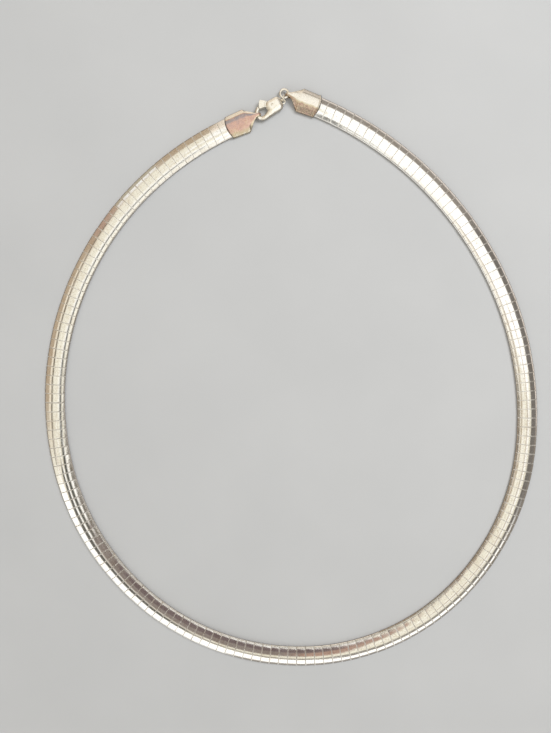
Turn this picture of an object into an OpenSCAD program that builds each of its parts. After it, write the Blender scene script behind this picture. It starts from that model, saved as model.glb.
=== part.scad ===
// Omega necklace: domed plates crimped side by side on a flat woven core,
// closed by a lobster clasp, lying flat with its domed side up.
// The front of the neck is towards -Y and the clasp towards +Y. Units are millimetres.

/* [Band] */
// Width of the band of plates
band_w = 5.6; // [5:0.1:6.2]
// Height of the domed plates above the surface
band_h = 1.58; // [1.4:0.02:1.8]
// Thickness of the plates' sheet metal
plate_t = 0.28; // [0.2:0.02:0.32]
// Radius of the rolled long edges of a plate
edge_r = 0.4; // [0.36:0.02:0.5]
// How far the plate's ends fold under the band on each side
lip_w = 1.1; // [0.8:0.1:1.5]
// Clear gap between one plate and the next, along the middle of the band
plate_gap = 0.12; // [0.12:0.01:0.2]
// Number of plates on each half of the necklace
plates_per_half = 84; // [60:1:90]

/* [End caps] */
// Width of a cap over its parallel sides
cap_w = 6.4; // [6.2:0.1:6.6]
// Height of a cap
cap_h = 1.93; // [1.9:0.01:2.1]
// Thickness of a cap's sheet
cap_t = 0.25; // [0.2:0.01:0.26]
// How far the middle of the mouth reaches over the last plate
cap_bulge = 0.8; // [0.3:0.1:1.2]
// Height of the raised rim round the right cap's mouth
cap_rim = 0.12; // [0:0.01:0.2]
// Width of the tongue that is rolled into a loop
tongue_w = 1; // [0.8:0.05:1.1]
// Thickness of the tongue
tongue_t = 0.3; // [0.25:0.01:0.35]
// Radius of the rolled loop's hole
loop_r = 0.65; // [0.64:0.01:0.67]

/* [Clasp] */
// Outer radius of the clasp's round head
head_r = 2.1; // [2:0.05:2.2]
// Radius of the hook's wire
hook_wire_r = 0.5; // [0.45:0.01:0.5]
// Distance from the far end of the hook to the middle of the clasp's eye
clasp_reach = 8.5; // [8.4:0.05:8.6]
// Radius of the eye, to the middle of its wire
eye_r = 0.6; // [0.58:0.01:0.62]
// Radius of the eye's wire
eye_wire_r = 0.2; // [0.16:0.01:0.2]
// Thickness of the lever between the body's cheeks
lever_t = 0.8; // [0.6:0.05:0.8]
// Thickness of the lever's free end and its thumb horn
horn_t = 1.2; // [0.8:0.05:1.2]
// Radius of the pin that the lever turns on
pin_r = 0.3; // [0.25:0.01:0.3]

/* [Rings] */
// Radius of the jump ring, to the middle of its wire
jump_r = 1.15; // [1.14:0.01:1.17]
// Radius of the jump ring's wire
jump_wire_r = 0.3; // [0.26:0.01:0.3]
// Radius of the clasp's small ring, to the middle of its wire
link_r = 0.78; // [0.77:0.01:0.79]
// Radius of the small ring's wire
link_wire_r = 0.2; // [0.18:0.01:0.2]

/* [Hidden] */
$fn = 64;
silver = [0.86, 0.85, 0.82];

// The band's middle line, as a chain of arcs that all turn left: from the left cap's mouth
// down the left side, round the front and up the right side to the right cap's mouth.
// Columns: radius, angle turned through
ARCS = [
  [86.0, 39.0],
  [83.5, 38.0],
  [73.0, 36.5],
  [68.5, 42.5],
  [63.0, 44.0],
  [68.5, 41.5],
  [92.5, 30.5],
  [98.5, 41.0]
];
RADIUS = 0;
TURN = 1;

// The left cap's mouth and the direction in which the band leaves it
mouth_left = [-13.0, 66.8];
heading_left = -155.4;

// The middle of the necklace's bounding box, which becomes the origin
box_middle = [4.54, -4.74];

// A small clearance between neighbouring pieces
clear = 0.08;

// Height of the loops, the rings and the clasp's middle above the surface
loop_z = 1.0;

half_w = band_w / 2;
lip_in = half_w - lip_w;

// The place and heading after turning left by an angle on a circle
function turned(place, heading, r, angle) =
  place + r * [sin(heading + angle) - sin(heading), cos(heading) - cos(heading + angle)];

// Each arc's first place, first heading and the length of band before it
STARTS = [for (
  k = 0, place = mouth_left, heading = heading_left, run = 0;
  k <= len(ARCS);
  place = k < len(ARCS) ? turned(place, heading, ARCS[k][RADIUS], ARCS[k][TURN]) : place,
  run = k < len(ARCS) ? run + ARCS[k][RADIUS] * ARCS[k][TURN] * PI / 180 : run,
  heading = k < len(ARCS) ? heading + ARCS[k][TURN] : heading,
  k = k + 1
) [place, heading, run]];

band_length = STARTS[len(ARCS)][2];
mouth_right = STARTS[len(ARCS)][0];
plate_count = 2 * plates_per_half;
pitch = band_length / plate_count;

// Which arc holds a length along the band
function arc_at(s) = max([0, for (k = [1 : len(ARCS) - 1]) if (STARTS[k][2] <= s) k]);
function angle_at(s) = (s - STARTS[arc_at(s)][2]) / ARCS[arc_at(s)][RADIUS] * 180 / PI;
function heading_at(s) = STARTS[arc_at(s)][1] + angle_at(s);
function place_at(s) =
  turned(STARTS[arc_at(s)][0], STARTS[arc_at(s)][1], ARCS[arc_at(s)][RADIUS], angle_at(s));

// The same, running straight on past either end of the band
function along(s) =
  let (t = min(max(s, 0), band_length), h = heading_at(t))
  place_at(t) + (s - t) * [cos(h), sin(h)];

function ease(t) = t <= 0 ? 0 : t >= 1 ? 1 : t * t * (3 - 2 * t);
function mix(a, b, t) = a + (b - a) * t;

// A dome of height h over rolled edges: its circle's centre height and half angle
function dome_centre(w, r, h) = ((w - r) * (w - r) + r * r - (h - r) * (h - r)) / (2 * (2 * r - h));
function dome_angle(w, r, h) = asin((w - r) / (h - dome_centre(w, r, h) - r));

// Points over a dome from right to left, in n steps
function dome(w, r, h, n) =
  let (c = dome_centre(w, r, h), a = dome_angle(w, r, h))
  [for (i = [0 : n]) (h - c) * [sin(a * (1 - 2 * i / n)), cos(a * (1 - 2 * i / n))] + [0, c]];

// Points up the right-hand rolled edge, from underneath to the dome
function roll(w, r, h, n) =
  let (a = dome_angle(w, r, h))
  [for (i = [0 : n - 1]) [w - r, r] + r * [sin(180 - i * (180 - a) / n), cos(180 - i * (180 - a) / n)]];

function mirrored(points) = [for (i = [len(points) - 1 : -1 : 0]) [-points[i][0], points[i][1]]];
function raised(points, z) = [for (p = points) [p[0], p[1] + z]];

// A closed shell through rings of equally many points
module skin(rings) {
  n = len(rings[0]);
  last = len(rings) - 1;
  polyhedron(
    points = [for (ring = rings) each ring],
    faces = concat(
      [[for (j = [0 : n - 1]) j]],
      [for (i = [0 : last - 1], j = [0 : n - 1])
        let (a = i * n + j, b = i * n + (j + 1) % n) each [[a, a + n, b + n], [a, b + n, b]]],
      [[for (j = [n - 1 : -1 : 0]) last * n + j]]
    )
  );
}

module at_origin() translate([-box_middle[0], -box_middle[1], 0]) children();

// The outside of a plate's cross-section
module plate_outline() {
  c = dome_centre(half_w, edge_r, band_h);
  a = dome_angle(half_w, edge_r, band_h);
  steps = 4;
  rim = [half_w - edge_r, edge_r] + edge_r * [sin(a), cos(a)];
  side = concat(
    roll(half_w, edge_r, band_h, steps),
    [rim - 0.004 * [sin(a), cos(a)], rim + 0.5 * [sin(a), cos(a)]]
  );
  intersection() {
    translate([0, c]) circle(band_h - c);
    polygon(concat(side, [[0, 2 * band_h]], mirrored(side)));
  }
}

// A plate's cross-section: a domed sheet with its ends folded under
module plate_section() {
  inner = raised(dome(half_w - plate_t, edge_r / 2, band_h - 2 * plate_t, 4), plate_t);
  corner = [[lip_in, -1], [lip_in, plate_t], [half_w - plate_t - 0.05, plate_t]];
  difference() {
    plate_outline();
    polygon(concat(corner, inner, mirrored(corner)));
  }
}

// Plates first to last, counted from the left cap
module plates(first, last) {
  for (i = [first : last]) {
    s = (i + 0.5) * pitch;
    r = ARCS[arc_at(s)][RADIUS];
    h = heading_at(s);
    span = (pitch - plate_gap) / r * 180 / PI;
    translate(place_at(s) + r * [-sin(h), cos(h)])
      rotate(h - 90 - span / 2)
        rotate_extrude(angle = span) translate([r, 0]) plate_section();
  }
}

module plates_left() color(silver) at_origin() plates(0, plates_per_half - 1);
module plates_right() color(silver) at_origin() plates(plates_per_half, plate_count - 1);

// The woven core fills the plates, shows between their lips, and runs on into both caps
core_run_in = 3.2;
core_step = 5;
core_edge_r = 0.12;

// Its cross-section, whose middle strip drops between the lips by drop
function core_section(w, drop) =
  let (
    floor_z = plate_t + clear,
    side = [[lip_in - clear, floor_z - drop], [lip_in - clear, floor_z], [w, floor_z]],
    top = raised(dome(w, core_edge_r, band_h - 2 * plate_t - 2 * clear, 4), floor_z)
  )
  concat(side, top, mirrored(side));

module mesh_core() color(silver) at_origin() {
  w = half_w - plate_t - 2 * clear;
  low = plate_t - clear;
  inside = [for (s = [core_step : core_step : band_length - core_step]) s];
  stations = concat(
    [[-core_run_in, 0.01], [0, 0.01], [0.4, low]],
    [for (s = inside) [s, low]],
    [[band_length - 0.4, low], [band_length, 0.01], [band_length + core_run_in, 0.01]]
  );
  skin([for (station = stations)
    let (s = station[0], h = heading_at(min(max(s, 0), band_length)), p = along(s))
    [for (q = core_section(w, station[1]))
      [p[0] + q[0] * sin(h), p[1] - q[0] * cos(h), q[1]]]]);
}

// An end cap, from its mouth at the origin along +X to the middle of its rolled loop
cap_edge_r = 0.45;
cap_rim_w = 0.5;
cap_depth = 3.6;
loop_turn = 295;
cap_top_z = loop_z + loop_r + tongue_t;
CAP_OUTLINE = let (
    w = cap_w / 2,
    side = concat([[w * 0.45, 0]], roll(w, cap_edge_r, cap_h, 4)),
    ring = concat(dome(w, cap_edge_r, cap_h, 12), mirrored(side), [[0, 0]], side)
  )
  [for (p = ring) [p[0] / w, p[1] / cap_h]];

// One ring of the cap: the outline scaled to a half width and a height, at x along the cap.
// The mouth's edge bows towards the band, less and less further in.
function cap_ring(x, w, bottom, top) =
  [for (p = CAP_OUTLINE)
    let (
      bow = 0.1 - (cap_bulge * (1 - p[0] * p[0]) + 0.1) * ease((p[1] * cap_h - 0.2) / 0.6),
      fade = 1 - ease(x / 2.4)
    )
    [x + bow * fade, -p[0] * w, mix(bottom, top, p[1])]];

// The cap keeps its width to the shoulders, then sweeps in to the tongue's width
function swept_in(t) = t <= 0 ? 0 : t >= 1 ? 1 : 1 - pow(1 - t, 1.25);
function cap_body_ring(x, length, extra) = cap_ring(
  x,
  mix(cap_w / 2, tongue_w / 2, swept_in((x / length - 0.6) / 0.36)) + extra,
  mix(0, cap_top_z - tongue_t, ease((x / length - 0.62) / 0.24)),
  mix(cap_h, cap_top_z, ease(x / length / 0.8)) + extra
);

// One ring of the rolled loop, turned by an angle about the loop's middle
function loop_ring(length, angle) =
  [for (p = CAP_OUTLINE)
    let (r = loop_r + p[1] * tongue_t)
    [length + r * sin(angle), -p[0] * tongue_w / 2, loop_z + r * cos(angle)]];

module end_cap(mouth, loop, rim) {
  length = norm(loop - mouth);
  inner_w = cap_w / 2 - cap_t;
  translate([mouth[0], mouth[1], 0])
    rotate(atan2(loop[1] - mouth[1], loop[0] - mouth[0]))
      skin(concat(
        [for (x = [cap_depth, 1.8, 0]) cap_ring(x, inner_w, cap_t, cap_h - cap_t)],
        [for (x = [0, cap_rim_w]) cap_body_ring(x, length, rim)],
        [for (x = [cap_rim_w + 0.06, 2, 0.45 * length]) cap_body_ring(x, length, 0)],
        [for (k = [0.6 : 0.04 : 0.93]) cap_body_ring(k * length, length, 0)],
        [for (angle = [0 : loop_turn / 14 : loop_turn]) loop_ring(length, angle)]
      ));
}

// The clasp in its own frame: the hook's far end at the origin, the eye towards +X,
// the lever on the +Y side
clasp_place = [-5.44, 69.85];
clasp_heading = 28.1;
hook_r = head_r - hook_wire_r;
pivot = [5.3, 0.5];
lever_reach = 3.67;
lever_gap = 0.08;
hub_r = 0.7;
horn_tip = [2.85, 3.2];
// The lever is thick only further than this from its pivot, clear of the cheeks
cheek_reach = 2.05;

function clasp_to_necklace(p) = clasp_place + [
  p[0] * cos(clasp_heading) - p[1] * sin(clasp_heading),
  p[0] * sin(clasp_heading) + p[1] * cos(clasp_heading)
];

module at_clasp()
  at_origin() translate([clasp_place[0], clasp_place[1], loop_z]) rotate(clasp_heading) children();

// The caps' loops: one round the hook, the other round the jump ring
loop_left = clasp_to_necklace([hook_wire_r + clear, 0]);
jump_place = [2.45, 76.1];
cap_right_heading = -20.5;
link_heading = 80;
loop_right = jump_place + (jump_r + 0.1) * [cos(cap_right_heading), sin(cap_right_heading)];
link_place = jump_place - (jump_r + 0.215) * [cos(link_heading), sin(link_heading)];

module end_cap_left() color(silver) at_origin() end_cap(mouth_left, loop_left, 0);
module end_cap_right() color(silver) at_origin() end_cap(mouth_right, loop_right, cap_rim);

module ring(r, wire_r) rotate_extrude() translate([r, 0]) circle(wire_r);

module jump_ring() color(silver) at_origin()
  translate([jump_place[0], jump_place[1], loop_z]) ring(jump_r, jump_wire_r);

module clasp_ring() color(silver) at_origin()
  translate([link_place[0], link_place[1], loop_z]) rotate([90, 0, link_heading])
    ring(link_r, link_wire_r);

// Rounded lumps that are blended into the clasp's body, flattened to its thickness
clasp_half_t = 1.0;
module lump(p, r) translate([p[0], p[1], 0])
  scale([1, 1, min(1, clasp_half_t / r)]) sphere(r, $fn = 24);

// The hook's wire ends in a blunt tip that the lever closes on, and thickens towards the body
module hook() {
  difference() {
    union() {
      translate([head_r, 0, 0]) rotate([0, 0, 92]) rotate_extrude(angle = 208)
        translate([hook_r, 0]) circle(hook_wire_r);
      hull() {
        lump([0.97, 1.13], 0.5);
        lump([1.42, 1.47], 0.58);
      }
    }
    intersection() {
      translate([pivot[0], pivot[1], -1]) cylinder(r = lever_reach + lever_gap, h = 2);
      translate([0, 0.8, -1]) cube([4, 2, 2]);
    }
  }
}

module clasp_body() color(silver) at_clasp() {
  difference() {
    union() {
      hook();
      hull() {
        lump([1.25, -1.33], 0.5);
        lump([2.1, -1.48], 0.62);
      }
      hull() {
        lump([2.1, -1.48], 0.62);
        lump([2.95, -1.35], 0.66);
      }
      hull() {
        lump([2.95, -1.35], 0.66);
        lump([4.7, -0.8], 1.1);
      }
      hull() {
        lump([4.7, -0.8], 1.1);
        lump([4.65, 0.95], 1.15);
        lump([6.85, -0.5], 1.3);
        lump([6.95, 0.85], 1.3);
      }
      translate([clasp_reach, 0, 0]) ring(eye_r, eye_wire_r);
    }
    translate([pivot[0], pivot[1], -1.5]) cylinder(r = pin_r + 0.01, h = 3);
    translate([0, 0, -lever_t / 2 - 0.05]) linear_extrude(lever_t + 0.1) {
      translate(pivot) circle(hub_r + lever_gap);
      intersection() {
        translate(pivot) circle(lever_reach + lever_gap);
        polygon([pivot - [0, hub_r], pivot + [0.3, 2], [1, 4], [1, -0.4], [3.4, -0.45]]);
      }
    }
  }
}

// One limb of the lever between two round ends
module limb(p, p_r, q, q_r) hull() {
  translate(p) circle(p_r, $fn = 32);
  translate(q) circle(q_r, $fn = 32);
}

// The lever's arm from the pivot to the hook's tip, with the thumb horn on its back
module lever_outline() {
  elbow = [3.7, 1.4];
  intersection() {
    union() {
      translate(pivot) circle(hub_r);
      limb([5, 0.8], 0.5, elbow, 0.5);
      limb(elbow, 0.5, [1.9, 1.55], 0.4);
      hull() {
        limb([4.0, 1.75], 0.6, [2.2, 1.95], 0.35);
        translate(horn_tip) circle(0.16, $fn = 32);
      }
    }
    translate(pivot) circle(lever_reach);
  }
}

module clasp_lever() color(silver) at_clasp() {
  difference() {
    translate([0, 0, -horn_t / 2]) linear_extrude(horn_t) lever_outline();
    for (z = [lever_t / 2, -lever_t / 2 - 1])
      translate([pivot[0], pivot[1], z]) cylinder(r = cheek_reach, h = 1);
    translate([pivot[0], pivot[1], -1]) cylinder(r = pin_r + 0.05, h = 3);
  }
}

module clasp_pin() color(silver) at_clasp()
  translate([pivot[0], pivot[1], -0.85]) cylinder(r = pin_r, h = 1.7);

mesh_core();
plates_left();
plates_right();
end_cap_left();
end_cap_right();
jump_ring();
clasp_ring();
clasp_body();
clasp_lever();
clasp_pin();
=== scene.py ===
import math
import random

import bmesh
import bpy
import numpy as np
from mathutils import Matrix, Vector


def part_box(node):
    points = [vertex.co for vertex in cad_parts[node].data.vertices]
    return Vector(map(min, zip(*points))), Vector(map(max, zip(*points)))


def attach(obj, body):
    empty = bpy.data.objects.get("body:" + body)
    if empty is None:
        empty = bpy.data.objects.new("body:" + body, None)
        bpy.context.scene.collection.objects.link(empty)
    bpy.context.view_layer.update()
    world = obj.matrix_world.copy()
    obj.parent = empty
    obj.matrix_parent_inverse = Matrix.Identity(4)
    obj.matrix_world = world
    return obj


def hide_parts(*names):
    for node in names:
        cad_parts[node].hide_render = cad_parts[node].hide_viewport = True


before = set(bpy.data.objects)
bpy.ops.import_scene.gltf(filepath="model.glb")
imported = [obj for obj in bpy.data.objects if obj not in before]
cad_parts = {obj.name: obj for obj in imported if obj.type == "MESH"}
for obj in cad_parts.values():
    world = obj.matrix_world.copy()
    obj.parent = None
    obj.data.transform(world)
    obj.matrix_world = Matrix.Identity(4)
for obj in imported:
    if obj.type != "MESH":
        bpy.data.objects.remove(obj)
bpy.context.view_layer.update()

# Shapes are worked out in millimetres and written to the meshes in metres
MM = 0.001

# The plates' cross-section, as in the CAD: half width, height, radius of the rolled edges,
# sheet, and how near the middle line the folded lips reach
BAND_HALF = 2.8
BAND_H = 1.58
EDGE_R = 0.4
SHEET_T = 0.28
LIP_IN = 1.7

random.seed(7)


# Small helpers

def unit(v):
    return np.asarray(v, float) / np.linalg.norm(v)


def mix(a, b, t):
    return a + (b - a) * t


def ease(t):
    t = min(max(t, 0.0), 1.0)
    return t * t * (3 - 2 * t)


def tube_faces(rings, sides, flip=False):
    """Faces between rings of points that follow each other, with a face over each end."""
    faces = []
    for r in range(rings - 1):
        for k in range(sides):
            a, b = r * sides + k, r * sides + (k + 1) % sides
            faces.append((a, b, b + sides, a + sides) if flip else (a, a + sides, b + sides, b))
    first = tuple(range(sides))
    last = tuple(range((rings - 1) * sides, rings * sides))
    faces.append(first[::-1] if flip else first)
    faces.append(last if flip else last[::-1])
    return faces


class Shape:
    """Points and faces of one piece, gathered before its mesh is made."""

    def __init__(self):
        self.points = []
        self.faces = []
        self.layers = {}

    def add(self, points, faces, **layers):
        start = len(self.points)
        self.points.extend(tuple(p) for p in points)
        self.faces.extend(tuple(start + i for i in face) for face in faces)
        for layer, values in layers.items():
            self.layers.setdefault(layer, []).extend(values)

    def piece(self, name, material, replaces, sharp=40):
        """The finished piece, with edges sharper than an angle left crisp."""
        mesh = bpy.data.meshes.new(name)
        mesh.from_pydata([tuple(c * MM for c in p) for p in self.points], [], self.faces)
        mesh.polygons.foreach_set("use_smooth", [True] * len(mesh.polygons))
        mesh.update()
        mesh.set_sharp_from_angle(angle=math.radians(sharp))
        mesh.materials.append(material)
        for layer, values in self.layers.items():
            mesh.attributes.new(layer, "FLOAT", "POINT").data.foreach_set("value", values)
        obj = bpy.data.objects.new(name, mesh)
        bpy.context.scene.collection.objects.link(obj)
        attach(obj, "necklace")
        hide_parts(*replaces)


# The band's route, read from the CAD's plates

def loose_solids(node):
    """The corner points of each loose solid in a CAD node, in millimetres."""
    bm = bmesh.new()
    bm.from_mesh(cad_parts[node].data)
    bmesh.ops.remove_doubles(bm, verts=bm.verts, dist=1e-6)
    left = set(bm.verts)
    solids = []
    while left:
        found = {left.pop()}
        edge = list(found)
        while edge:
            near = {e.other_vert(v) for v in edge for e in v.link_edges} - found
            found |= near
            edge = list(near)
        left -= found
        solids.append(np.array([v.co for v in found]) / MM)
    bm.free()
    return solids


class Plate:
    """Where one plate lies: its middle, its outward and forward directions and the turn there."""

    def __init__(self, corners):
        flat = corners[:, :2]
        self.middle = (flat.max(0) + flat.min(0)) / 2
        self.outward = None
        self.forward = None
        self.bend = 0.0

    def angle(self):
        """Angle round the necklace from the clasp, with the left half first."""
        return (math.atan2(self.middle[1], self.middle[0]) - math.pi / 2) % math.tau


def read_band():
    """All plates in order from the left cap to the right cap, and how many are on the left."""
    left = [Plate(c) for c in loose_solids("plates_left")]
    right = [Plate(c) for c in loose_solids("plates_right")]
    band = sorted(left + right, key=Plate.angle)
    last = len(band) - 1
    for i, plate in enumerate(band):
        a, b = band[max(i - 1, 0)], band[min(i + 1, last)]
        plate.forward = unit(b.middle - a.middle)
        plate.outward = np.array([plate.forward[1], -plate.forward[0]])
    for i, plate in enumerate(band):
        a, b = band[max(i - 1, 0)], band[min(i + 1, last)]
        turn = math.asin(a.forward[0] * b.forward[1] - a.forward[1] * b.forward[0])
        plate.bend = turn / np.linalg.norm(b.middle - a.middle)
    return band, len(left)


BAND, LEFT_COUNT = read_band()
PITCH = float(np.mean([np.linalg.norm(b.middle - a.middle) for a, b in zip(BAND, BAND[1:])]))
LAST_STATION = PITCH * (len(BAND) - 1)


def band_at(s):
    """Middle, forward and outward directions at a length along the band from the first plate."""
    last = len(BAND) - 1
    k = min(max(int(s / PITCH), 0), last - 1)
    t = s / PITCH - k
    a, b = BAND[k], BAND[k + 1]
    forward = unit(mix(a.forward, b.forward, min(max(t, 0.0), 1.0)))
    if t < 0:
        middle = a.middle + a.forward * t * PITCH
    elif t > 1:
        middle = b.middle + b.forward * (t - 1) * PITCH
    else:
        middle = mix(a.middle, b.middle, t)
    return middle, forward, np.array([forward[1], -forward[0]])


def node_middle(node):
    """The middle of a CAD node's box, seen from above."""
    low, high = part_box(node)
    return np.array(((low + high) / 2)[:2]) / MM


CLASP_MIDDLE = node_middle("clasp_body")


# Plates

# Length of a lip's flat end
LIP_FLAT = 0.35


def dome_circle(half, roll, height):
    """Height of the centre and half angle of the dome that runs into rolled edges."""
    a = half - roll
    centre = (a * a + roll * roll - (height - roll) ** 2) / (2 * (2 * roll - height))
    return centre, math.asin(a / (height - centre - roll))


def plate_profile(dome_steps=24, roll_steps=6):
    """The outside of a plate from lip to lip, as (across, up) points with their normals."""
    centre, angle = dome_circle(BAND_HALF, EDGE_R, BAND_H)
    roll = []
    for i in range(roll_steps):
        a = math.pi - i * (math.pi - angle) / roll_steps
        n = (math.sin(a), math.cos(a))
        roll.append((BAND_HALF - EDGE_R + EDGE_R * n[0], EDGE_R + EDGE_R * n[1], *n))
    dome = []
    for i in range(dome_steps + 1):
        a = angle * (1 - 2 * i / dome_steps)
        n = (math.sin(a), math.cos(a))
        dome.append(((BAND_H - centre) * n[0], centre + (BAND_H - centre) * n[1], *n))
    lip = [(x, 0.0, 0.0, -1.0) for x in (LIP_IN, LIP_IN + LIP_FLAT)]
    right = lip + roll
    left = [(-x, z, -nx, nz) for x, z, nx, nz in reversed(right)]
    return right + dome + left


# The seam between two plates on a straight stretch
PLATE_GAP = 0.03
# Share of the turn that the seams take up by opening towards the outside of the bend
SEAM_FAN = 0.35
# Rows at a plate's end: distance back from the end, how far the surface is let down, wear
END_ROWS = [
    (0.0, 0.035, 1.0), (0.02, 0.012, 1.0), (0.06, 0.002, 1.0), (0.10, 0.0, 0.5), (0.16, 0.0, 0.0),
]
# All rows along a plate, where those in the middle are at a share of the half length
PLATE_ROWS = [(-1, *row) for row in END_ROWS]
PLATE_ROWS += [(share, None, 0.0, 0.0) for share in (-0.5, 0, 0.5)]
PLATE_ROWS += [(1, *row) for row in reversed(END_ROWS)]
# How unevenly the plates are set: spread of roll, tip and yaw in degrees, largest lift,
# and range of the crown along a plate
PLATE_TILTS = (0.4, 0.35, 0.2)
PLATE_LIFT = 0.01
PLATE_CROWN = (-0.001, 0.003)


def plate_half_length(plate, x):
    """Half of a plate's length at a distance outward from the band's middle line."""
    stretch = ((1 - SEAM_FAN) * x - SEAM_FAN * BAND_HALF) * plate.bend
    return (PITCH * (1 + stretch) - PLATE_GAP) / 2


def add_plate(shape, plate, profile):
    """One domed sheet with its lips: the outside row by row, then the inside at the two ends."""
    roll, tip, yaw = (math.radians(random.gauss(0, spread)) for spread in PLATE_TILTS)
    lift = random.uniform(-PLATE_LIFT, PLATE_LIFT)
    crown = random.uniform(*PLATE_CROWN)
    turn = Matrix.Rotation(yaw, 3, "Z") @ Matrix.Rotation(roll, 3, "Y") @ Matrix.Rotation(tip, 3, "X")
    outward = Vector((*plate.outward, 0))
    forward = Vector((*plate.forward, 0))
    place = Matrix((outward, forward, Vector((0, 0, 1)))).transposed() @ turn
    middle = Vector((*plate.middle, 0))
    pivot = Vector((0, 0, BAND_H / 2))

    def put(x, v, z):
        return middle + pivot + place @ (Vector((x, v, z + lift)) - pivot)

    count = len(profile)
    rows = len(PLATE_ROWS)
    points = []
    wears = []
    for end, back, drop, wear in PLATE_ROWS:
        for x, z, nx, nz in profile:
            wears.append(wear)
            half = plate_half_length(plate, x)
            v = end * half if back is None else end * (half - back)
            rise = crown * (1 - (v / half) ** 2) * max(nz, 0) - drop
            points.append(put(x + nx * rise, v, z + nz * rise))
    for end in (-1, 1):
        for x, z, nx, nz in profile:
            v = end * plate_half_length(plate, x)
            points.append(put(x - nx * SHEET_T, v, z - nz * SHEET_T))
            wears.append(1.0)
    faces = []
    for r in range(rows - 1):
        for i in range(count - 1):
            a = r * count + i
            faces.append((a, a + 1, a + 1 + count, a + count))
    inner = rows * count
    for i in range(count - 1):
        a = inner + i
        faces.append((a, a + count, a + count + 1, a + 1))
        faces.append((i, a, a + 1, i + 1))
        last = (rows - 1) * count + i
        faces.append((last, last + 1, a + count + 1, a + count))
    for i, flip in ((0, False), (count - 1, True)):
        tip_face = [r * count + i for r in range(rows)] + [inner + count + i, inner + i]
        faces.append(tuple(reversed(tip_face)) if flip else tuple(tip_face))
    shape.add(points, faces, wear=wears)


def build_plates(material):
    profile = plate_profile()
    for side, plates in (("left", BAND[:LEFT_COUNT]), ("right", BAND[LEFT_COUNT:])):
        shape = Shape()
        for plate in plates:
            add_plate(shape, plate, profile)
        shape.piece("plates_%s_sheet" % side, material, replaces=["plates_" + side])


# Woven core

# Underside of the strip, how far it runs into the caps, and its room inside the sheet
CORE_FLOOR = 0.34
CORE_RUN_IN = 3.0
CORE_SIDE_ROOM = 0.2
CORE_TOP_ROOM = 0.1
CORE_ARCH = 0.5
CORE_CHAMFER = 0.1
ARCH_STEPS = 8
# Stitches on the underside: columns across, pitch along, width of all columns, wire
STITCH_COLUMNS = 6
STITCH_STEP = 0.8
STITCH_SPAN = 3.3
WIRE_R = 0.15
WIRE_SIDES = 6
# How far a stitch reaches across and along from its middle
STITCH_REACH = (0.30, 0.62)
# Rows along a stitch: share of its reach, share of the wire's radius, how far it is let in
STITCH_ROWS = ((-1.0, 0.55, 0.10), (-0.45, 1.0, 0.0), (0.45, 1.0, 0.0), (1.0, 0.55, 0.10))
# How far the middle of the wire stands below the strip, as a share of its radius
STITCH_PROUD = 0.2


def core_section():
    """Outline of the woven strip inside the plates, as (across, up) points."""
    half = BAND_HALF - SHEET_T - CORE_SIDE_ROOM
    top = BAND_H - SHEET_T - CORE_TOP_ROOM
    side = top - CORE_ARCH
    corner = CORE_FLOOR + CORE_CHAMFER
    outline = [(-half, corner), (-LIP_IN, CORE_FLOOR), (LIP_IN, CORE_FLOOR), (half, corner)]
    for i in range(ARCH_STEPS + 1):
        x = half * math.cos(math.pi * i / ARCH_STEPS)
        outline.append((x, side + (top - side) * (1 - (x / half) ** 2)))
    return outline


def add_core_body(shape):
    section = core_section()
    end = PITCH / 2 + CORE_RUN_IN
    stations = np.arange(-end, LAST_STATION + end, PITCH / 2)
    points = []
    for s in stations:
        middle, _, outward = band_at(s)
        points.extend((*(middle + outward * x), z) for x, z in section)
    shape.add(points, tube_faces(len(stations), len(section)))


def add_stitch(shape, middle, forward, outward, x, slant):
    """One short loop of wire on the underside, thick in the middle and sunk at both ends."""
    reach = (STITCH_REACH[0] * slant, STITCH_REACH[1])
    across = unit((reach[1], -reach[0]))
    points = []
    for t, fat, sink in STITCH_ROWS:
        cx, cv = x + reach[0] * t, reach[1] * t
        for k in range(WIRE_SIDES):
            a = math.tau * k / WIRE_SIDES
            dx, dv = across * WIRE_R * fat * math.cos(a)
            z = CORE_FLOOR + sink - WIRE_R * STITCH_PROUD + WIRE_R * fat * math.sin(a)
            p = middle + outward * (cx + dx) + forward * (cv + dv)
            points.append((*p, z))
    shape.add(points, tube_faces(len(STITCH_ROWS), WIRE_SIDES, flip=True))


def build_core(material):
    shape = Shape()
    add_core_body(shape)
    steps = int((LAST_STATION + PITCH) / STITCH_STEP)
    for i in range(steps):
        for column in range(STITCH_COLUMNS):
            stagger = 0.5 * (column // 2 % 2)
            s = -PITCH / 2 + (i + 0.5 + stagger) * STITCH_STEP
            middle, forward, outward = band_at(s)
            x = STITCH_SPAN * ((column + 0.5) / STITCH_COLUMNS - 0.5)
            slant = 1 if column % 2 else -1
            add_stitch(shape, middle, forward, outward, x, slant)
    shape.piece("core_weave", material, replaces=["mesh_core"], sharp=60)


# End caps

# Half width and height at the mouth, how far the mouth's edge bows over the band, and wall
CAP_HALF = 3.2
CAP_H = 1.93
CAP_BULGE = 0.8
CAP_WALL = 0.22
# The tongue, and the loop that it is rolled into
TONGUE_HALF = 0.5
TONGUE_T = 0.3
LOOP_R = 0.65
LOOP_Z = 1.0
LOOP_TURN = math.radians(300)
LOOP_STEPS = 28
# Along the cap, as shares of its length: the shoulders, how long the sweep from them to the tongue
# is, where the top is level with the loop, and where the underside rises and the sides get fuller
SHOULDER = 0.60
SWEEP = 0.36
TOP_LEVEL = 0.8
RISE_FROM = 0.62
RISE_SPAN = 0.24
FULL_FROM = 0.60
FULL_SPAN = 0.3
# Half widths at the mouth and at the shoulders, as shares of CAP_HALF
MOUTH_FLARE = 0.975
SHOULDER_FLARE = 1.04
# The sweep's exponent: 1 is straight, more is hollower
SWEEP_POWER = 1.25
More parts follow.
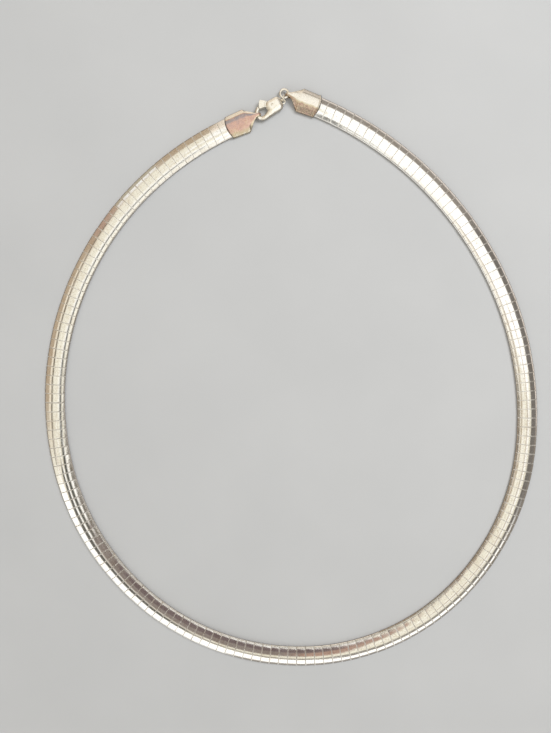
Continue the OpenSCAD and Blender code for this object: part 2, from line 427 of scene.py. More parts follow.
# The mouth's edge: how far its underside stands back, the height where it starts to bow over the
# band and the rise that the bow takes, and the length over which it fades
BOW_BACK = 0.1
BOW_FLOOR = 0.2
BOW_RISE = 0.6
BOW_FADE = 2.4
# How much fuller the section gets towards the tongue
FULL_SIDE = 1.02


def cap_axis(node, narrow_towards):
    """The middle of the cap's mouth, its two directions and its length to the loop, from the CAD."""
    points = np.array([v.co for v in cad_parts[node].data.vertices])[:, :2] / MM
    points = np.unique(points.round(3), axis=0)
    way = np.linalg.eigh(np.cov((points - points.mean(0)).T))[1][:, 1]
    if way @ (narrow_towards - points.mean(0)) < 0:
        way = -way
    side = np.array([-way[1], way[0]])
    along, across = points @ way, points @ side
    mouth = way * (along.min() + CAP_BULGE) + side * (across.max() + across.min()) / 2
    length = along.max() - along.min() - CAP_BULGE - LOOP_R - TONGUE_T
    return mouth, way, side, length


# Right half of the cap's outline: share of the half width, share of the height
CAP_SIDE = [
    (0.0, 0.035), (0.018, 0.0), (0.45, 0.0), (0.80, 0.0), (0.93, 0.04), (0.99, 0.14), (1.0, 0.26),
    (0.99, 0.37), (0.96, 0.46), (0.91, 0.53), (0.80, 0.66), (0.69, 0.79), (0.61, 0.875), (0.56, 0.915),
    (0.50, 0.935), (0.40, 0.955), (0.28, 0.975), (0.14, 0.99), (0.0, 1.0),
]
CAP_RING = CAP_SIDE + [(-y, z) for y, z in CAP_SIDE[-2:0:-1]]

# Tarnish, painted reflection and painted shade on each cap, from its outer edge to its inner edge:
# share of the width, film, painted shade with grime.
# The film is straw-coloured where it is thin, then rose, then mauve grey; in these strips it is partly
# tarnish and partly a painted reflection on the cap's top and flanks.
TARNISH_AND_PAINTED_LIGHT_LEFT = [
    (0.0, 0.02, 0.0), (0.20, 0.04, 0.0), (0.24, 0.95, 0.0), (0.36, 0.95, 0.0), (0.44, 0.62, 0.0),
    (0.78, 0.60, 0.05), (0.90, 0.32, 0.12), (1.0, 0.20, 0.05),
]
TARNISH_AND_PAINTED_LIGHT_RIGHT = [
    (0.0, 0.0, 0.04), (0.18, 0.0, 0.08), (0.23, 0.05, 0.04), (0.30, 0.0, 0.0), (0.60, 0.02, 0.0),
    (0.67, 0.46, 0.38), (0.90, 0.48, 0.46), (1.0, 0.44, 0.34),
]
# Film on the flat underside, which is below this share of the cap's height
UNDERSIDE = 0.1
UNDERSIDE_FILM = 0.3
# Rings from deep inside the mouth, round its lip and along the outside to near the shoulders:
# distance from the mouth, share of the wall set in, share of the rim stood out, and painted shade
# with grime, which darkens the lip as the shade of the gap over the plates
CAP_ROWS = [
    (2.6, 1, 0, 0.0), (1.6, 1, 0, 0.0), (0.8, 1, 0, 0.0), (0.05, 1, 0, 0.0),
    (0.0, 0.8, 0, 1.0), (-0.02, 0.5, 0, 1.0), (0.0, 0.2, 0, 1.0), (0.03, 0, 0, 1.0),
    (0.08, 0, 0.8, 1.0), (0.2, 0, 1, 0.75), (0.38, 0, 1, 0.0), (0.48, 0, 0.6, 0.0), (0.53, 0, 0, 0.0),
    (0.60, 0, 0, 0.0), (1.1, 0, 0, 0.0), (1.8, 0, 0, 0.0), (2.6, 0, 0, 0.0), (3.4, 0, 0, 0.0),
]
# Rings over the shoulders and down the sweep, as shares of the length
TAPER_ROWS = [0.5, 0.57, *np.arange(0.595, 0.945, 0.0175)]


def cap_half_width(x, length):
    """Half width along the cap: a slight flare to the shoulders, then a hollow sweep to the tongue."""
    shoulder = SHOULDER * length
    if x <= shoulder:
        return CAP_HALF * mix(MOUTH_FLARE, SHOULDER_FLARE, x / shoulder)
    t = min((x - shoulder) / (SWEEP * length), 1.0)
    return mix(CAP_HALF * SHOULDER_FLARE, TONGUE_HALF, 1 - (1 - t) ** SWEEP_POWER)


def cap_ring(x, length, shrink=0.0, swell=0.0):
    """One ring of the cap at a distance from its mouth, whose edge bows towards the band."""
    top = mix(CAP_H, LOOP_Z + LOOP_R + TONGUE_T, ease(x / length / TOP_LEVEL)) + swell
    bottom = mix(0.0, LOOP_Z + LOOP_R, ease((x / length - RISE_FROM) / RISE_SPAN))
    half = cap_half_width(max(x, 0.0), length) + swell
    fade = 1 - ease(x / BOW_FADE)
    fuller = ease((x / length - FULL_FROM) / FULL_SPAN)
    ring = []
    for y, z in CAP_RING:
        rise = ease((z * CAP_H - BOW_FLOOR) / BOW_RISE)
        bow = BOW_BACK - (CAP_BULGE * (1 - y * y) + BOW_BACK) * rise
        full_y = math.copysign(min(abs(y) * FULL_SIDE, 1.0), y)
        across = mix(y, full_y, fuller) * (half - shrink)
        up = mix(bottom + shrink, top - shrink, z)
        ring.append((x + bow * fade, across, up))
    return ring


def loop_ring(length, angle):
    """One ring of the tongue, rolled into a loop round the wire that it holds."""
    ring = []
    for y, z in CAP_RING:
        r = LOOP_R + TONGUE_T * z
        ring.append((length + r * math.sin(angle), y * TONGUE_HALF, LOOP_Z + r * math.cos(angle)))
    return ring


def build_cap(side, rim, tarnish_and_painted_light, material):
    """A hollow cap whose mouth has a lip that stands out by rim."""
    node = "end_cap_" + side
    mouth, way, across, length = cap_axis(node, CLASP_MIDDLE)
    outer = 1 if across @ mouth > 0 else -1
    rings = [cap_ring(x, length, CAP_WALL * wall, rim * out) for x, wall, out, _ in CAP_ROWS]
    rings += [cap_ring(k * length, length) for k in TAPER_ROWS]
    rings += [loop_ring(length, a) for a in np.linspace(0, LOOP_TURN, LOOP_STEPS)]
    # Painted shade with grime along the mouth's lip, and none past the rows at the mouth
    lip_shade_and_grime = [row[3] for row in CAP_ROWS] + [0.0] * (len(rings) - len(CAP_ROWS))
    shares, strengths, shades_and_dirt = zip(*tarnish_and_painted_light)
    points, films, grimes = [], [], []
    for ring, shade_and_dirt in zip(rings, lip_shade_and_grime):
        for x, y, z in ring:
            points.append((*(mouth + way * x + across * y), z))
        for y, z in CAP_RING:
            share = (1 - outer * y) / 2
            # Film strip by strip across the cap: partly tarnish, partly painted reflection
            film = float(np.interp(share, shares, strengths))
            films.append(film if z > UNDERSIDE else UNDERSIDE_FILM)
            # Painted shade with grime: the strips on the flanks and the line at the mouth's lip
            grimes.append(max(shade_and_dirt, float(np.interp(share, shares, shades_and_dirt))))
    shape = Shape()
    shape.add(points, tube_faces(len(rings), len(CAP_RING)), film=films, grime=grimes)
    shape.piece(node + "_sheet", material, replaces=[node], sharp=35)


# Clasp and rings

def build_casting(name, node, voxel, soften, material, body):
    """A CAD piece with its edges melted together, as a small casting has them."""
    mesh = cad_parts[node].data.copy()
    mesh.transform(Matrix.Scale(1 / MM, 4))
    bm = bmesh.new()
    bm.from_mesh(mesh)
    bmesh.ops.remove_doubles(bm, verts=bm.verts, dist=0.001)
    bm.to_mesh(mesh)
    bm.free()
    rough = bpy.data.objects.new(name + "_rough", mesh)
    bpy.context.scene.collection.objects.link(rough)
    melt = rough.modifiers.new("melt", "REMESH")
    melt.mode = "VOXEL"
    melt.voxel_size = voxel
    smooth = rough.modifiers.new("soften", "SMOOTH")
    smooth.factor = 0.5
    smooth.iterations = soften
    result = bpy.data.meshes.new_from_object(rough.evaluated_get(bpy.context.evaluated_depsgraph_get()))
    result.name = name
    result.transform(Matrix.Scale(MM, 4))
    bpy.data.objects.remove(rough)
    result.polygons.foreach_set("use_smooth", [True] * len(result.polygons))
    result.materials.clear()
    result.materials.append(material)
    obj = bpy.data.objects.new(name, result)
    bpy.context.scene.collection.objects.link(obj)
    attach(obj, body)
    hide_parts(node)


# A direction out of every ring's own axis, which angles round the rings are counted from
RING_ZERO = (0.3, 0.2, 1.0)
# Steps round a ring and round its wire, the width of its cut, and how much the wire's ends narrow
RING_TURNS = 72
RING_SIDES = 14
RING_CUT = 0.05
RING_END = 0.86


def build_ring(name, node, normal, wire_r, cut_at, material):
    """A ring of round wire with its two ends pushed together at a cut."""
    low, high = (np.array(c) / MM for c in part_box(node))
    centre = (low + high) / 2
    radius = (high - low).max() / 2 - wire_r
    normal = unit(normal)
    first = unit(np.cross(normal, RING_ZERO))
    second = np.cross(normal, first)
    gap = RING_CUT / radius
    points = []
    for i in range(RING_TURNS + 1):
        a = cut_at + gap / 2 + (math.tau - gap) * i / RING_TURNS
        out = first * math.cos(a) + second * math.sin(a)
        fat = wire_r * (RING_END if i in (0, RING_TURNS) else 1.0)
        for k in range(RING_SIDES):
            b = math.tau * k / RING_SIDES
            points.append(centre + out * (radius + fat * math.cos(b)) + normal * fat * math.sin(b))
    shape = Shape()
    shape.add(points, tube_faces(RING_TURNS + 1, RING_SIDES))
    shape.piece(name, material, replaces=[node], sharp=50)


# The peened end of the rivet: share of the pin's radius, height over the pin's end
RIVET_HEAD = [(0.35, 0.10), (0.7, 0.07), (0.92, 0.02), (1.0, -0.04)]
RIVET_SIDES = 28


def build_rivet(material):
    """The lever's pin with its two ends peened into low domes."""
    low, high = (np.array(c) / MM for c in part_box("clasp_pin"))
    centre = (low + high) / 2
    radius = (high[0] - low[0]) / 2
    half = (high[2] - low[2]) / 2
    outline = [(r * radius, half + z) for r, z in RIVET_HEAD]
    outline += [(r * radius, -half - z) for r, z in reversed(RIVET_HEAD)]
    points = []
    for r, z in outline:
        for k in range(RIVET_SIDES):
            a = math.tau * k / RIVET_SIDES
            points.append(centre + np.array([r * math.cos(a), r * math.sin(a), z]))
    shape = Shape()
    shape.add(points, tube_faces(len(outline), RIVET_SIDES))
    shape.piece("clasp_rivet", material, replaces=["clasp_pin"], sharp=50)


# Materials

class Nodes:
    """A short way to write a node tree."""

    def __init__(self, tree):
        self.tree = tree
        tree.nodes.clear()

    def add(self, kind, inputs=None, **settings):
        node = self.tree.nodes.new(kind)
        for key, value in settings.items():
            setattr(node, key, value)
        for key, value in (inputs or {}).items():
            self.set(node.inputs[key], value)
        return node

    def set(self, socket, value):
        if isinstance(value, bpy.types.NodeSocket):
            self.tree.links.new(value, socket)
        else:
            socket.default_value = value

    def math(self, operation, a, b=0.0, clamp=False):
        node = self.add("ShaderNodeMath", {0: a, 1: b}, operation=operation, use_clamp=clamp)
        return node.outputs[0]

    def mapped(self, value, low, high, to_low=0.0, to_high=1.0, smooth=False):
        node = self.add(
            "ShaderNodeMapRange", {0: value, 1: low, 2: high, 3: to_low, 4: to_high},
            interpolation_type="SMOOTHSTEP" if smooth else "LINEAR",
        )
        return node.outputs[0]

    def mixed(self, factor, a, b, blend="MIX"):
        node = self.add("ShaderNodeMix", {0: factor, 6: a, 7: b}, data_type="RGBA", blend_type=blend)
        return node.outputs[2]

    def scaled(self, colour, tone):
        node = self.add("ShaderNodeVectorMath", {0: colour, 1: tone}, operation="MULTIPLY")
        return node.outputs[0]

    def noise(self, place, scale, detail=3.0, rough=0.5):
        inputs = {"Vector": place, "Scale": scale, "Detail": detail, "Roughness": rough}
        return self.add("ShaderNodeTexNoise", inputs).outputs["Fac"]


def rgba(r, g, b):
    return (r, g, b, 1.0)


# The colour that a film gives the metal, by its strength, which on the caps also stands for painted
# reflections
FILM_AND_REFLECTION_TINTS = [
    (0.0, rgba(0.95, 0.92, 0.86)), (0.12, rgba(0.95, 0.92, 0.84)), (0.32, rgba(0.86, 0.76, 0.56)),
    (0.60, rgba(0.74, 0.50, 0.44)), (1.0, rgba(0.40, 0.38, 0.42)),
]
# Colour and strength of the painted shade with grime on the caps
SHADE_AND_GRIME_COLOUR = rgba(0.06, 0.05, 0.045)
SHADE_AND_GRIME_SHARE = 0.85


def tarnished_and_painted(n, place, metal):
    """The metal's colour under its film layer, tarnish with painted reflection, and under its layer of
    painted shade with grime.
    """
    film = n.add("ShaderNodeAttribute", attribute_name="film").outputs["Fac"]
    grime = n.add("ShaderNodeAttribute", attribute_name="grime").outputs["Fac"]
    blotch = n.mapped(n.noise(place, 900, 4, 0.6), 0.3, 0.7, -0.12, 0.12)
    tint = n.add("ShaderNodeValToRGB", {0: n.math("ADD", film, blotch, clamp=True)})
    stops = tint.color_ramp.elements
    stops[0].color = FILM_AND_REFLECTION_TINTS[0][1]
    stops[1].color = FILM_AND_REFLECTION_TINTS[-1][1]
    for strength, colour in FILM_AND_REFLECTION_TINTS[1:-1]:
        stops.new(strength).color = colour
    filmed = n.mixed(1.0, metal, tint.outputs[0], blend="MULTIPLY")
    grain = n.mapped(n.noise(place, 2600, 3, 0.7), 0.35, 0.62, 0.4, 1.5)
    shade_and_dirt = n.math("MULTIPLY", grime, n.math("MULTIPLY", grain, SHADE_AND_GRIME_SHARE), clamp=True)
    return n.mixed(shade_and_dirt, filmed, SHADE_AND_GRIME_COLOUR)


# How much of the dark colour there is in stains and in specks
STAIN_SHARE = 0.4
SPECK_SHARE = 0.55
# How much rougher the metal is in a smudge, from plate to plate, in a scratch and at worn edges
SMUDGE_ROUGH = 0.08
PLATE_ROUGH = 0.04
SCRATCH_ROUGH = 0.06
WEAR_ROUGH = 0.42
# Depth of a scratch, as a share of the orange peel's
SCRATCH_DEPTH = 0.12


def silver(name, light, dark, roughness, peel, peel_scale, film=False, worn_edges=False):
    """Worn silver: light and dark metal colours, least roughness, and depth and scale of its peel."""
    material = bpy.data.materials.new(name)
    material.use_nodes = True
    n = Nodes(material.node_tree)
    place = n.add("ShaderNodeTexCoord").outputs["Object"]
    island = n.add("ShaderNodeNewGeometry").outputs["Random Per Island"]
    haze = n.noise(place, 140, 4, 0.6)
    stain = n.mapped(n.noise(place, 260, 6, 0.65), 0.52, 0.72)
    speck = n.mapped(n.noise(place, 2400, 4, 0.7), 0.50, 0.64)
    stains = n.math("MULTIPLY", stain, STAIN_SHARE)
    specks = n.math("MULTIPLY", speck, SPECK_SHARE)
    colour = n.mixed(n.math("ADD", stains, specks, clamp=True), light, dark)
    # On the caps the film is tarnish with painted reflection, and the dark layer is painted shade with
    # grime
    if film:
        colour = tarnished_and_painted(n, place, colour)
    rough = n.mapped(haze, 0.35, 0.7, roughness, roughness + SMUDGE_ROUGH)
    rough = n.math("ADD", rough, n.math("MULTIPLY", island, PLATE_ROUGH))
    streaks = n.add("ShaderNodeMapping", {
        "Vector": place, "Rotation": (0, 0, 0.6), "Scale": (9000, 500, 500),
    })
    scratch = n.mapped(n.noise(streaks.outputs[0], 1, 2, 0.5), 0.62, 0.7)
    rough = n.math("ADD", rough, n.math("MULTIPLY", scratch, SCRATCH_ROUGH))
    if worn_edges:
        wear = n.add("ShaderNodeAttribute", attribute_name="wear").outputs["Fac"]
        rough = n.math("ADD", rough, n.math("MULTIPLY", wear, WEAR_ROUGH))
    orange_peel = n.noise(place, peel_scale, 3, 0.55)
    height = n.math("ADD", orange_peel, n.math("MULTIPLY", scratch, -SCRATCH_DEPTH))
    bump = n.add("ShaderNodeBump", {"Strength": 1.0, "Distance": peel * MM, "Height": height})
    shader = n.add("ShaderNodeBsdfPrincipled", {
        "Base Color": colour, "Metallic": 1.0, "Roughness": rough, "Normal": bump.outputs[0],
    })
    n.add("ShaderNodeOutputMaterial", {"Surface": shader.outputs[0]})
    return material


# Camera: a frame 733 pixels high with a focal length of 552 pixels, a little off straight down
PHOTO_H = 733
FOCAL_PX = 552
SENSOR_H = 36.0
CAMERA_DISTANCE = 157.66
CAMERA_TILT = math.radians(2.25)
# The point of the surface at the middle of the photograph
PHOTO_MIDDLE = (-4.54, 4.74)
CAMERA_PLACE = np.array([
    PHOTO_MIDDLE[0],
    PHOTO_MIDDLE[1] + math.sin(CAMERA_TILT) * CAMERA_DISTANCE,
    math.cos(CAMERA_TILT) * CAMERA_DISTANCE,
])


def build_camera():
    data = bpy.data.cameras.new("camera")
    data.sensor_fit = "VERTICAL"
    data.sensor_height = SENSOR_H
    data.lens = SENSOR_H * FOCAL_PX / PHOTO_H
    data.clip_start = 0.01
    camera = bpy.data.objects.new("camera", data)
    bpy.context.scene.collection.objects.link(camera)
    camera.location = CAMERA_PLACE * MM
    camera.rotation_euler = (-CAMERA_TILT, 0, 0)
    bpy.context.scene.camera = camera


# World

# How fine the studio's uneven bands are, for each degree of azimuth and of zenith
STREAKS = (0.05, 0.45)


class Sky(Nodes):
    """A soft studio round the necklace, painted by azimuth (from +X towards +Y) and zenith angle."""

    def __init__(self, base):
        world = bpy.data.worlds.new("studio")
        world.use_nodes = True
        bpy.context.scene.world = world
        super().__init__(world.node_tree)
        direction = self.add("ShaderNodeTexCoord").outputs["Generated"]
        parts = self.add("ShaderNodeSeparateXYZ", {0: direction}).outputs
        to_degrees = 180 / math.pi
        self.zenith = self.math("MULTIPLY", self.math("ARCCOSINE", parts[2]), to_degrees)
        self.azimuth = self.math("MULTIPLY", self.math("ARCTAN2", parts[1], parts[0]), to_degrees)
        self.colour = base

    def near(self, distance, reach, soft):
        """1 within reach and 0 beyond it, with a soft step between."""
        return self.mapped(distance, reach - soft / 2, reach + soft / 2, 1.0, 0.0, smooth=True)

    def patch(self, azimuths, zeniths, colour, soft=(8, 5), strength=1.0, share=1.0):
        """A soft-edged block of colour over what is painted so far, in degrees."""
        middle = sum(azimuths) / 2
        offset = self.math("SUBTRACT", self.azimuth, middle)
        wrap = self.add("ShaderNodeMath", {0: offset, 1: -180.0, 2: 180.0}, operation="WRAP")
        away = self.math("ABSOLUTE", wrap.outputs[0])
        side = self.near(away, (azimuths[1] - azimuths[0]) / 2, soft[0])
        rise = self.math("ABSOLUTE", self.math("SUBTRACT", self.zenith, sum(zeniths) / 2))
        ring = self.near(rise, (zeniths[1] - zeniths[0]) / 2, soft[1])
        factor = self.math("MULTIPLY", self.math("MULTIPLY", side, ring), share)
        self.colour = self.mixed(factor, self.colour, rgba(*(c * strength for c in colour)))

    def streak(self):
        """Uneven bands round the studio, so that no part of it is one flat colour."""
        place = self.add("ShaderNodeCombineXYZ", {
            0: self.math("MULTIPLY", self.azimuth, STREAKS[0]),
            1: self.math("MULTIPLY", self.zenith, STREAKS[1]),
        })
        tone = self.mapped(self.noise(place.outputs[0], 1.0, 4, 0.6), 0.3, 0.7, 0.78, 1.16)
        self.colour = self.scaled(self.colour, tone)

    def finish(self, backdrop):
        lit = self.add("ShaderNodeBackground", {"Color": self.colour, "Strength": 1.0})
        plain = self.add("ShaderNodeBackground", {"Color": backdrop, "Strength": 1.0})
        camera = self.add("ShaderNodeLightPath").outputs["Is Camera Ray"]
        shown = self.add("ShaderNodeMixShader", {0: camera, 1: lit.outputs[0], 2: plain.outputs[0]})
        self.add("ShaderNodeOutputWorld", {"Surface": shown.outputs[0]})


# Colours of the studio's walls and cards, from light to dark
WHITE = (1.0, 1.0, 0.98)
CREAM = (0.92, 0.885, 0.76)
BEIGE = (0.50, 0.40, 0.29)
ROSE = (0.46, 0.31, 0.25)
GREY = (0.36, 0.34, 0.32)
FAWN = (0.27, 0.23, 0.21)
UMBER = (0.26, 0.23, 0.20)
SLATE = (0.20, 0.185, 0.17)
MAUVE = (0.17, 0.13, 0.13)
CHARCOAL = (0.10, 0.10, 0.09)
# What the camera sees past the edge of the floor
BACKDROP = (0.75, 0.75, 0.74)


def build_world():
    """The studio: 0 degrees is the right-hand side, 90 the clasp's, 180 the left and 270 the front."""
    sky = Sky(rgba(*CREAM))
    # High up, tan on the left and bright at the front right
    sky.patch((140, 186), (28, 48), (0.78, 0.68, 0.56), share=0.7)
    sky.patch((184, 206), (38, 52), (0.82, 0.75, 0.66), share=0.7)
    sky.patch((285, 365), (7, 19), (1.08, 1.06, 0.95), share=0.8)
    sky.patch((300, 362), (14, 28), WHITE, strength=1.1, share=0.8)
    # Low on the left, for the beige and rose outer side of the left half
    sky.patch((100, 190), (44, 98), BEIGE, soft=(16, 12))
    sky.patch((100, 196), (92, 114), UMBER, soft=(8, 10))
    sky.patch((141, 149), (45, 90), ROSE, share=0.75, soft=(3, 5))
    sky.patch((128, 139), (62, 100), (0.50, 0.46, 0.36), soft=(2, 5))
    sky.patch((128, 139), (46, 66), WHITE, soft=(2, 4))
    # The front, a wide window with grey at its foot
    sky.patch((204, 354), (45, 100), WHITE, strength=1.4)
    sky.patch((257, 352), (81, 105), GREY, soft=(4, 4))
    sky.patch((279, 304), (50, 57), GREY, soft=(4, 3))
    # Lights over the front left, the right and the clasp
    sky.patch((215, 245), (12, 50), WHITE, strength=1.2)
    sky.patch((0, 78), (14, 42), WHITE, strength=1.3)
    sky.patch((60, 108), (6, 44), WHITE, strength=1.1)
    # The right, dark with a pale line at the horizon
    sky.patch((15, 80), (74, 100), (0.60, 0.56, 0.54))
    sky.patch((332, 375), (60, 100), UMBER, soft=(16, 5))
    sky.patch((316, 345), (75, 100), UMBER, soft=(12, 5))
    sky.patch((15, 82), (42, 78), (0.33, 0.30, 0.27))
    sky.patch((311, 395), (41, 61), SLATE)
    sky.patch((332, 395), (58, 79), SLATE, soft=(20, 5))
    sky.patch((-8, 80), (83, 95), (0.90, 0.82, 0.76), soft=(10, 5))
    # The dark lower half all round, with a gleam at the front left and browner on the left
    sky.patch((-20, 380), (98, 200), (0.30, 0.29, 0.27), soft=(8, 8))
    sky.patch((212, 256), (88, 125), (0.80, 0.80, 0.78), soft=(6, 10))
    sky.patch((100, 205), (92, 200), (0.24, 0.19, 0.15), soft=(16, 10))
    # Behind the clasp, for the flank of the left cap
    sky.patch((84, 112), (35, 108), (1.0, 0.91, 0.80), soft=(2, 5))
    sky.streak()
    sky.finish(rgba(*BACKDROP))


# Reflectors and flags hung over the necklace: they show in the metal alone.
# A card is laid out by where it shows in the band. Share runs 0 to 1 down the left half
# and 1 to 2 up the right half, across runs 0 to 1 from the band's inner edge to its outer edge.
# Height of the cards, and how much lower each one is for every card that hangs already
CARD_HEIGHT = 80.0
CARD_DROP = 1.0
LOW_CARD_HEIGHT = 14.0
LOW_CARD_DROP = 0.1
# Lean of the metal's surface where across is 0 or 1, on the rolled edges, in radians
DOME_REACH = 0.728
# Length of a card's facets, as a share
CARD_STEP = 0.02
CARDS = []


def mirrored(place, normal, height):
    """Where the camera's line of sight crosses a height after the mirror at a place."""
    sight = unit(place - CAMERA_PLACE)
    way = sight - 2 * (sight @ normal) * normal
    return (place + way * (height - place[2]) / way[2])[:2]


def seen_in_band(share, across, height):
    """Where a card at a height has to be, to show in the band at this share and across."""
    middle, _, outward = band_at((share * LEFT_COUNT - 0.5) * PITCH)
    lean = (2 * across - 1) * DOME_REACH
    normal = np.array([*(outward * math.sin(lean)), math.cos(lean)])
    centre, angle = dome_circle(BAND_HALF, EDGE_R, BAND_H)
    if abs(lean) < angle:
        place = np.array([*middle, centre]) + normal * (BAND_H - centre)
    else:
        side = math.copysign(BAND_HALF - EDGE_R, lean)
        place = np.array([*(middle + outward * side), EDGE_R]) + normal * EDGE_R
    return mirrored(place, normal, height)


def card_glow(name, colour):
    """A glow with the card's own soft edges, kept in the mesh's cover layer."""
    material = bpy.data.materials.new(name)
    material.use_nodes = True
    material.cycles.emission_sampling = "NONE"
    n = Nodes(material.node_tree)
    cover = n.add("ShaderNodeAttribute", attribute_name="cover").outputs["Fac"]
    clear = n.add("ShaderNodeBsdfTransparent")
    place = n.add("ShaderNodeTexCoord").outputs["Object"]
    tone = n.mapped(n.noise(place, 160, 4, 0.6), 0.3, 0.7, 0.72, 1.25)
    glow = n.add("ShaderNodeEmission", {"Color": n.scaled(colour, tone), "Strength": 1.0})
    shown = n.add("ShaderNodeMixShader", {0: cover, 1: clear.outputs[0], 2: glow.outputs[0]})
    n.add("ShaderNodeOutputMaterial", {"Surface": shown.outputs[0]})
    return material


def hang_card(name, rows, colour, soft=0.02, top=CARD_HEIGHT, drop=CARD_DROP):
    """A card from rows of (share, across from, across to)."""
    height = top - drop * len(CARDS)
    shares, lows, highs = zip(*rows)
    steps = max(int((shares[-1] - shares[0]) / CARD_STEP), 4)
    points, covers, faces = [], [], []
    stations = np.linspace(shares[0], shares[-1], steps)
    for r, share in enumerate(stations):
        low, high = np.interp(share, shares, lows), np.interp(share, shares, highs)
        edge = min(soft, (high - low) / 2)
        whole = 0.0 if r in (0, steps - 1) else 1.0
        places = (low - edge, low + edge, high - edge, high + edge)
        for across, cover in zip(places, (0.0, whole, whole, 0.0)):
            points.append((*(seen_in_band(share, across, height) * MM), height * MM))
            covers.append(cover)
    for r in range(steps - 1):
        for i in range(3):
            a = 4 * r + i
            faces.append((a, a + 1, a + 5, a + 4))
    mesh = bpy.data.meshes.new(name)
    mesh.from_pydata(points, [], faces)
    mesh.attributes.new("cover", "FLOAT", "POINT").data.foreach_set("value", covers)
    mesh.materials.append(card_glow(name, colour))
    card = bpy.data.objects.new(name, mesh)
    bpy.context.scene.collection.objects.link(card)
    card.visible_camera = False
    card.visible_diffuse = False
    card.visible_shadow = False
    CARDS.append(card)


def hang_low_card(name, rows, colour):
    """A card close over the necklace, for what shows along the band's steep inner edge."""
    hang_card(name, rows, colour, top=LOW_CARD_HEIGHT, drop=LOW_CARD_DROP)


def hang_cards():
    hang_card("back_reflector", [
        (1.50, 0.44, 0.54), (1.56, 0.30, 0.545), (1.64, 0.16, 0.55), (1.72, 0.16, 0.57),
        (1.80, 0.22, 0.60), (1.995, 0.24, 0.61),
    ], (1.3, 1.3, 1.28), soft=0.04)
    hang_card("front_flag", [
        (0.61, 0.26, 0.34), (0.65, 0.13, 0.44), (0.70, 0.12, 0.45), (0.80, 0.11, 0.46),
        (0.90, 0.105, 0.46), (1.00, 0.10, 0.42), (1.05, 0.10, 0.32), (1.075, 0.12, 0.26),
    ], FAWN, soft=0.015)
    hang_card("front_flag_core", [
        (0.68, 0.18, 0.27), (0.73, 0.15, 0.31), (0.80, 0.125, 0.31), (0.90, 0.12, 0.28),
        (1.00, 0.13, 0.28), (1.05, 0.13, 0.27), (1.07, 0.14, 0.25),
    ], MAUVE)
    hang_card("front_reflector", [
        (0.96, 0.33, 0.42), (1.00, 0.28, 0.44), (1.06, 0.27, 0.43), (1.075, 0.17, 0.34),
        (1.12, 0.17, 0.32), (1.15, 0.18, 0.26),
    ], ROSE)
    hang_card("outer_flag", [
        (0.52, 0.45, 0.50), (0.56, 0.46, 0.55), (0.60, 0.475, 0.59), (0.65, 0.485, 0.65),
        (0.67, 0.485, 0.60), (0.75, 0.49, 0.60), (0.84, 0.51, 0.58),
    ], (0.13, 0.125, 0.11), soft=0.015)
    hang_card("outer_flag_end", [
        (0.82, 0.52, 0.58), (0.90, 0.53, 0.57), (1.00, 0.53, 0.59), (1.10, 0.565, 0.65),
        (1.20, 0.575, 0.68), (1.26, 0.59, 0.72),
    ], (0.27, 0.25, 0.22))
    hang_card("front_line", [
        (0.64, 0.43, 0.47), (0.74, 0.44, 0.48), (0.85, 0.46, 0.50),
    ], (0.62, 0.57, 0.50), soft=0.01)
    hang_card("inner_light", [
        (0.02, 0.03, 0.17), (0.30, 0.03, 0.16), (0.46, 0.03, 0.16),
    ], (1.05, 1.02, 0.92))
    hang_card("inner_shade", [
        (0.49, 0.07, 0.13), (0.54, 0.08, 0.19), (0.58, 0.10, 0.215), (0.62, 0.11, 0.22),
        (0.66, 0.11, 0.19),
    ], (0.20, 0.18, 0.145))
    hang_card("inner_line", [
        (0.06, 0.20, 0.235), (0.20, 0.20, 0.245), (0.30, 0.195, 0.245), (0.40, 0.185, 0.25),
        (0.46, 0.18, 0.26), (0.50, 0.24, 0.32), (0.53, 0.28, 0.375), (0.58, 0.30, 0.41),
        (0.63, 0.30, 0.40), (0.655, 0.29, 0.38),
    ], CHARCOAL)
    hang_card("outer_line", [
        (0.18, 0.62, 0.66), (0.27, 0.60, 0.64), (0.33, 0.57, 0.62), (0.38, 0.55, 0.60),
        (0.44, 0.53, 0.59), (0.48, 0.58, 0.635), (0.50, 0.63, 0.68), (0.54, 0.69, 0.73),
    ], (0.13, 0.11, 0.08))
    hang_card("outer_light", [
        (0.24, 0.68, 0.72), (0.30, 0.65, 0.71), (0.35, 0.635, 0.69), (0.42, 0.61, 0.68),
        (0.47, 0.64, 0.71), (0.52, 0.72, 0.79),
    ], (0.95, 0.88, 0.74))
    hang_low_card("left_inner_edge", [(0.12, -0.02, 0.035), (0.50, -0.02, 0.04)], (0.30, 0.28, 0.24))
    hang_low_card("front_inner_edge", [(0.46, -0.02, 0.05), (0.96, -0.02, 0.04)], (0.25, 0.22, 0.20))
    hang_low_card("right_inner_edge", [(0.92, -0.02, 0.05), (1.60, -0.02, 0.05)], CHARCOAL)
    hang_low_card("back_inner_edge", [(1.52, -0.02, 0.05), (1.86, -0.02, 0.04)], UMBER)
    hang_card("back_inner_light", [
        (1.86, 0.06, 0.17), (1.975, 0.06, 0.17),
    ], (1.05, 1.05, 1.0), soft=0.03)
    hang_card("back_dashes", [(1.965, 0.12, 0.20), (1.998, 0.12, 0.20)], CHARCOAL, soft=0.01)
    hang_card("right_rose_line", [
        (1.30, 0.15, 0.19), (1.40, 0.17, 0.21), (1.5, 0.18, 0.22), (1.7, 0.19, 0.22),
        (1.78, 0.19, 0.21),
    ], (0.42, 0.33, 0.24))
    hang_card("right_grey_line", [
        (1.16, 0.42, 0.45), (1.3, 0.41, 0.44), (1.5, 0.40, 0.43), (1.65, 0.39, 0.41),
    ], BEIGE)


# A soft light from the upper right, for the shadows on the floor: its place, size and watts
KEY_AZIMUTH = math.radians(40)
KEY_HEIGHT = 520.0
KEY_AWAY = 420.0
KEY_SIZE = 380.0
KEY_POWER = 3.0


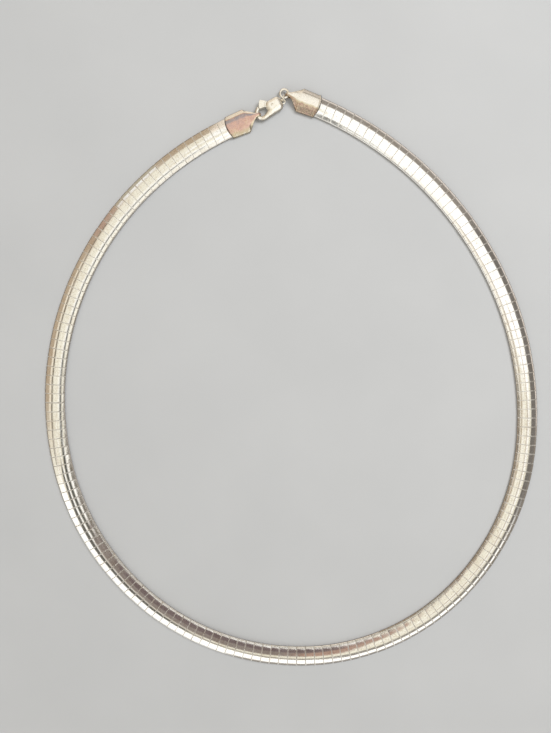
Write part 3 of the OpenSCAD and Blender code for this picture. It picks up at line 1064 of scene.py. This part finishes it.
def build_key_light():
    data = bpy.data.lights.new("key_light", "AREA")
    data.shape = "DISK"
    data.size = KEY_SIZE * MM
    data.energy = KEY_POWER
    light = bpy.data.objects.new("key_light", data)
    bpy.context.scene.collection.objects.link(light)
    away = (math.cos(KEY_AZIMUTH) * KEY_AWAY, math.sin(KEY_AZIMUTH) * KEY_AWAY)
    place = Vector((*away, KEY_HEIGHT)) * MM
    light.location = place
    light.rotation_euler = (-place).to_track_quat("-Z", "Y").to_euler()
    light.visible_glossy = False


# The floor's side in metres, how far it lies under the plane z = 0 in millimetres, and its colours
FLOOR_SIZE = 3.0
FLOOR_DROP = 0.07
FLOOR_TONES = (rgba(0.44, 0.45, 0.465), rgba(0.46, 0.47, 0.485))


def build_floor():
    mesh = bpy.data.meshes.new("floor")
    h = FLOOR_SIZE / 2
    mesh.from_pydata([(-h, -h, 0), (h, -h, 0), (h, h, 0), (-h, h, 0)], [], [(0, 1, 2, 3)])
    floor = bpy.data.objects.new("floor", mesh)
    bpy.context.scene.collection.objects.link(floor)
    floor.location.z = -FLOOR_DROP * MM
    # The metal mirrors the dark lower half of the studio instead
    floor.visible_glossy = False
    material = bpy.data.materials.new("pale_floor")
    material.use_nodes = True
    n = Nodes(material.node_tree)
    place = n.add("ShaderNodeTexCoord").outputs["Object"]
    tone = n.mapped(n.noise(place, 30, 3), 0.3, 0.7, 0.0, 1.0)
    colour = n.mixed(tone, *FLOOR_TONES)
    shader = n.add("ShaderNodeBsdfPrincipled", {"Base Color": colour, "Roughness": 0.85})
    shader.inputs["Specular IOR Level"].default_value = 0.2
    n.add("ShaderNodeOutputMaterial", {"Surface": shader.outputs[0]})
    mesh.materials.append(material)


build_camera()
build_world()
hang_cards()
build_floor()
build_key_light()
bpy.context.scene.view_settings.view_transform = "Standard"

plate_silver = silver(
    "polished_plates", rgba(0.96, 0.94, 0.90), rgba(0.70, 0.61, 0.50),
    roughness=0.06, peel=0.004, peel_scale=2500, worn_edges=True,
)
cap_silver = silver(
    "polished_caps", rgba(0.96, 0.94, 0.90), rgba(0.76, 0.68, 0.60),
    roughness=0.20, peel=0.006, peel_scale=1500, film=True,
)
cast_silver = silver(
    "satin_casting", rgba(0.98, 0.945, 0.86), rgba(0.74, 0.64, 0.48),
    roughness=0.26, peel=0.014, peel_scale=3500,
)
core_silver = silver(
    "woven_core", rgba(0.45, 0.42, 0.38), rgba(0.25, 0.22, 0.18),
    roughness=0.35, peel=0.02, peel_scale=3000,
)
build_plates(plate_silver)
build_core(core_silver)
build_cap("left", rim=0.0, tarnish_and_painted_light=TARNISH_AND_PAINTED_LIGHT_LEFT, material=cap_silver)
build_cap("right", rim=0.12, tarnish_and_painted_light=TARNISH_AND_PAINTED_LIGHT_RIGHT, material=cap_silver)
build_casting("clasp_body_casting", "clasp_body", 0.06, 6, cast_silver, "necklace")
build_casting("clasp_lever_casting", "clasp_lever", 0.05, 4, cast_silver, "lever")
build_ring("jump_ring_wire", "jump_ring", (0, 0, 1), wire_r=0.3, cut_at=2.4, material=cast_silver)
link_way = node_middle("jump_ring") - node_middle("clasp_ring")
link_normal = (-link_way[1], link_way[0], 0)
build_ring("clasp_ring_wire", "clasp_ring", link_normal, wire_r=0.2, cut_at=4.4, material=cast_silver)
build_rivet(cast_silver)
